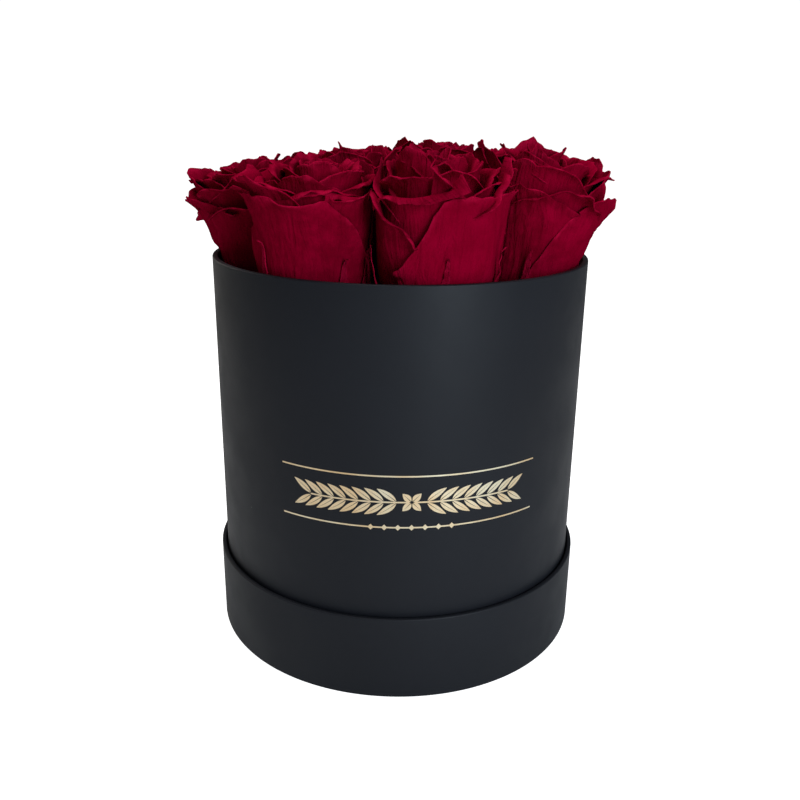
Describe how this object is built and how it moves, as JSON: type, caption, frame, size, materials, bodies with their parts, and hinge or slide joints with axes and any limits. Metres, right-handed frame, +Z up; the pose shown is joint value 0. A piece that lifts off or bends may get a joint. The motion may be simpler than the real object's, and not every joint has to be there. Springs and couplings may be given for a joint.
{
  "type": "flower box",
  "caption": "Round black paper-covered board box standing in its upturned lid, filled with dark red preserved rose heads on dry foam.",
  "frame": {"origin": "centre of the upturned lid's outer face, which rests on the table", "axes": "+Z up along the box's axis, -Y towards the front with the foil ornament, +X to the right seen from the front"},
  "size_m": [0.1686, 0.1689, 0.2111],
  "materials": {
    "black_paper": "matte soft-touch",
    "lining_paper": "plain matte",
    "greyboard": "raw grey board",
    "gold_foil": "hot-stamped gold foil",
    "foam": "dry floral foam",
    "petals": "velvety preserved petals",
    "sepals": "preserved green sepals",
    "stem": "dry cut stem"
  },
  "bodies": {
    "lid": {"lid_face_paper": "black_paper", "lid_wrap_paper": "black_paper", "lid_board_collar": "greyboard", "lid_board_disc": "greyboard", "lid_floor_paper": "lining_paper", "lid_liner_paper": "lining_paper"},
    "box": {"box_base_paper": "black_paper", "box_wrap_paper": "black_paper", "box_board_tube": "greyboard", "box_board_disc": "greyboard", "box_floor_paper": "lining_paper", "box_liner_paper": "lining_paper", "foam_block": "foam", "foil_rule_upper": "gold_foil", "foil_rule_lower": "gold_foil", "foil_sprig": "gold_foil", "rose_head_1": "petals", "rose_calyx_1": "sepals", "rose_stem_1": "stem", "rose_head_2": "petals", "rose_calyx_2": "sepals", "rose_stem_2": "stem", "rose_head_3": "petals", "rose_calyx_3": "sepals", "rose_stem_3": "stem", "rose_head_4": "petals", "rose_calyx_4": "sepals", "rose_stem_4": "stem", "rose_head_5": "petals", "rose_calyx_5": "sepals", "rose_stem_5": "stem", "rose_head_6": "petals", "rose_calyx_6": "sepals", "rose_stem_6": "stem", "rose_head_7": "petals", "rose_calyx_7": "sepals", "rose_stem_7": "stem", "rose_head_8": "petals", "rose_calyx_8": "sepals", "rose_stem_8": "stem", "rose_head_9": "petals", "rose_calyx_9": "sepals", "rose_stem_9": "stem"}
  },
  "joints": [
    {"name": "box_lift", "type": "slide", "parent": "lid", "child": "box", "axis": [0, 0, 1], "range_m": [0, 0.06]}
  ]
}
